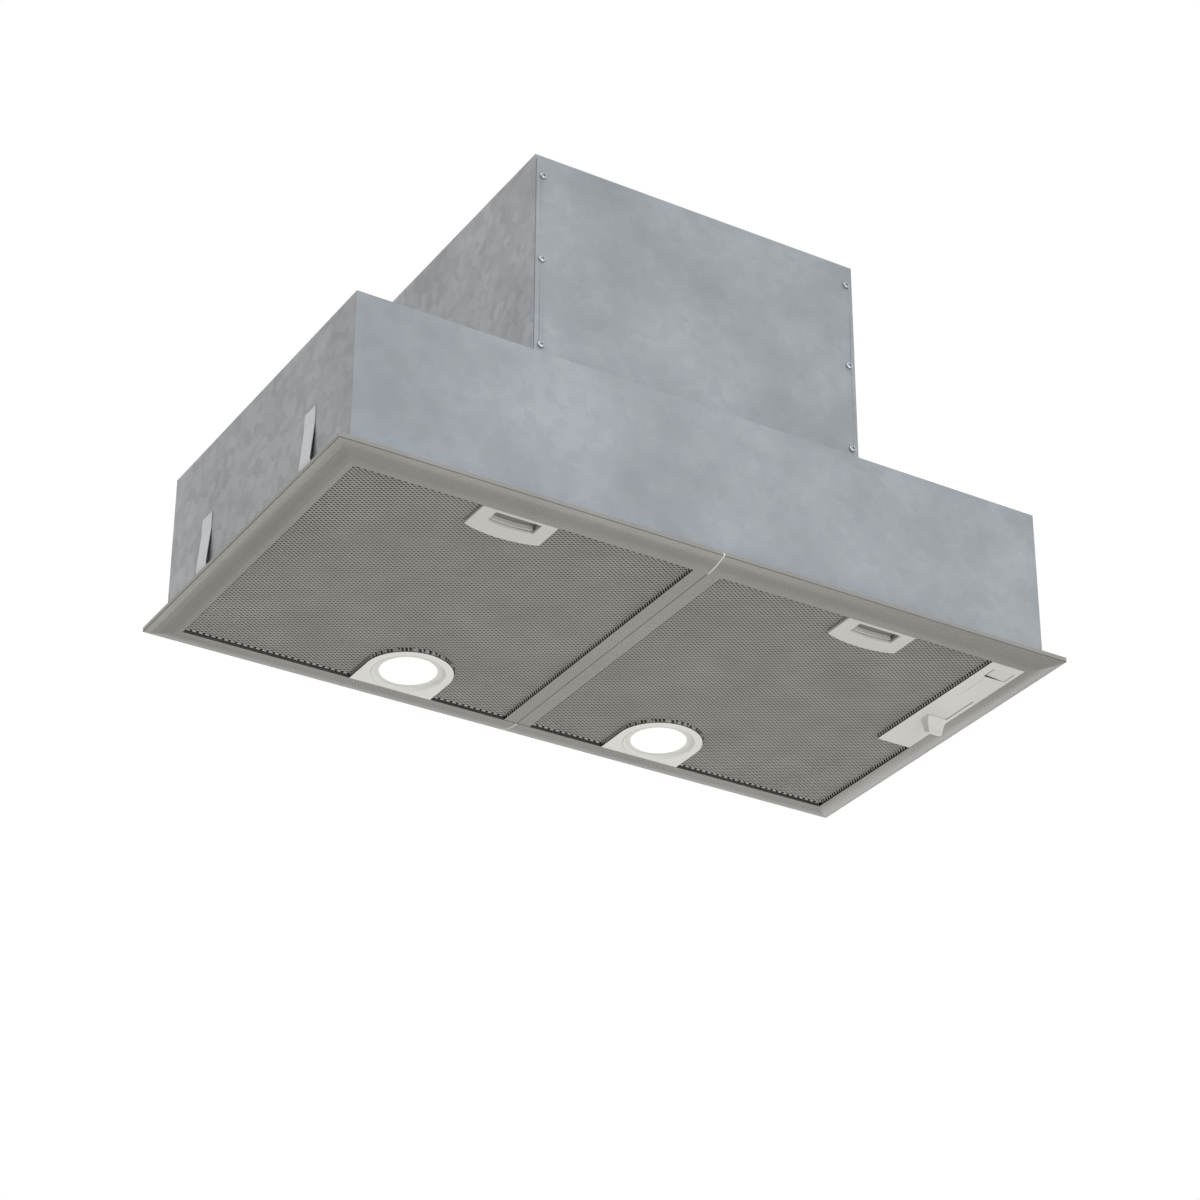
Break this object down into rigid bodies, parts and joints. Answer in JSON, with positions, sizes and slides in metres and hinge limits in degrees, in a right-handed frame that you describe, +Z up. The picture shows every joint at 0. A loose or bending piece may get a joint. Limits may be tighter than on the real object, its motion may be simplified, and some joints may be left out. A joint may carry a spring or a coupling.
{
  "type": "range hood insert",
  "caption": "Built-in range hood insert: silver plate with two hinged mesh grease filters, two round lamps, light rocker and fan slider, steel body, blower and round top duct collar",
  "frame": {"origin": "middle of the plane where the plate meets the underside of the cabinet", "axes": "+X right, +Y to the back (wall side), +Z up into the cabinet; the plate's visible face looks down (-Z)"},
  "size_m": [0.73, 0.38, 0.4329],
  "materials": {
    "silver_sheet": "satin silver lacquer",
    "grey_moulding": "fine grain",
    "pale_moulding": "fine satin grain",
    "white_moulding": "smooth",
    "black_moulding": "fine grain",
    "mesh_aluminium": "dull expanded sheet",
    "cooling_metal": "as rolled",
    "zinc_sheet": "zinc-coated sheet, dull",
    "bright_steel": "plated",
    "winding_core": "lacquered",
    "bronze": "sintered",
    "soft_rubber": "matt",
    "lamp_glass": "frosted, lit from behind"
  },
  "bodies": {
    "root": {"trim_left": "silver_sheet", "trim_right": "silver_sheet", "trim_joiner_front": "grey_moulding", "trim_joiner_back": "grey_moulding", "centre_strip_left": "silver_sheet", "centre_strip_right": "silver_sheet", "filter_hooks": "bright_steel", "lamp_housing_left": "pale_moulding", "lamp_bezel_left": "pale_moulding", "lamp_lens_left": "lamp_glass", "lamp_module_left": "cooling_metal", "lamp_housing_right": "pale_moulding", "lamp_bezel_right": "pale_moulding", "lamp_lens_right": "lamp_glass", "lamp_module_right": "cooling_metal", "control_panel": "pale_moulding", "rocker_switch": "black_moulding", "slider_switch": "black_moulding", "canopy": "zinc_sheet", "centre_beam": "zinc_sheet", "side_clips": "bright_steel", "tower_shell": "zinc_sheet", "tower_cover": "zinc_sheet", "scroll_left": "black_moulding", "scroll_right": "black_moulding", "inlet_rings": "black_moulding", "motor_housing": "zinc_sheet", "motor_stator": "winding_core", "motor_bushes": "bronze", "motor_bracket": "zinc_sheet", "motor_grommets": "soft_rubber", "terminal_box": "black_moulding", "terminal_box_lid": "black_moulding", "terminal_block": "white_moulding", "capacitor": "white_moulding", "cable_gland": "black_moulding", "duct_collar": "black_moulding", "flap_pin": "bright_steel", "sheet_screws": "bright_steel"},
    "filter_left": {"filter_mesh_left": "mesh_aluminium", "filter_frame_left": "mesh_aluminium", "filter_layers_left": "mesh_aluminium", "filter_pins_left": "bright_steel", "handle_left": "pale_moulding", "latch_spring_left": "bright_steel"},
    "filter_right": {"filter_mesh_right": "mesh_aluminium", "filter_frame_right": "mesh_aluminium", "filter_layers_right": "mesh_aluminium", "filter_pins_right": "bright_steel", "handle_right": "pale_moulding", "latch_spring_right": "bright_steel"},
    "latch_left": {"latch_left": "pale_moulding"},
    "latch_right": {"latch_right": "pale_moulding"},
    "light_rocker": {"light_rocker": "pale_moulding"},
    "fan_slider": {"fan_slider": "pale_moulding"},
    "impeller": {"impeller": "white_moulding", "motor_shaft": "bright_steel", "motor_rotor": "cooling_metal"},
    "flap_front": {"flap_front": "grey_moulding"},
    "flap_back": {"flap_back": "grey_moulding"}
  },
  "joints": [
    {"name": "filter_left_hinge", "type": "hinge", "parent": "root", "child": "filter_left", "pos_m": [-0.17613, 0.1565, -0.0028], "axis": [1, 0, 0], "range_deg": [0, 80]},
    {"name": "filter_right_hinge", "type": "hinge", "parent": "root", "child": "filter_right", "pos_m": [0.17613, 0.1565, -0.0028], "axis": [1, 0, 0], "range_deg": [0, 80]},
    {"name": "latch_left_slide", "type": "slide", "parent": "filter_left", "child": "latch_left", "axis": [0, 1, 0], "range_m": [0, 0.005], "stiffness_N_per_m": 300, "springref_m": -0.004, "deforming": ["latch_spring_left"]},
    {"name": "latch_right_slide", "type": "slide", "parent": "filter_right", "child": "latch_right", "axis": [0, 1, 0], "range_m": [0, 0.005], "stiffness_N_per_m": 300, "springref_m": -0.004, "deforming": ["latch_spring_right"]},
    {"name": "light_rocker_hinge", "type": "hinge", "parent": "root", "child": "light_rocker", "pos_m": [0.32305, -0.14515, -0.0067], "axis": [0, -1, 0], "range_deg": [0, 8]},
    {"name": "fan_slider_slide", "type": "slide", "parent": "root", "child": "fan_slider", "axis": [0, -1, 0], "range_m": [0, 0.042]},
    {"name": "impeller_spin", "type": "hinge", "parent": "root", "child": "impeller", "pos_m": [0, -0.069, 0.2503], "axis": [1, 0, 0], "continuous": true},
    {"name": "flap_front_hinge", "type": "hinge", "parent": "root", "child": "flap_front", "pos_m": [0, 0, 0.3903], "axis": [-1, 0, 0], "range_deg": [0, 80]},
    {"name": "flap_back_hinge", "type": "hinge", "parent": "root", "child": "flap_back", "pos_m": [0, 0, 0.3903], "axis": [1, 0, 0], "range_deg": [0, 80]}
  ]
}
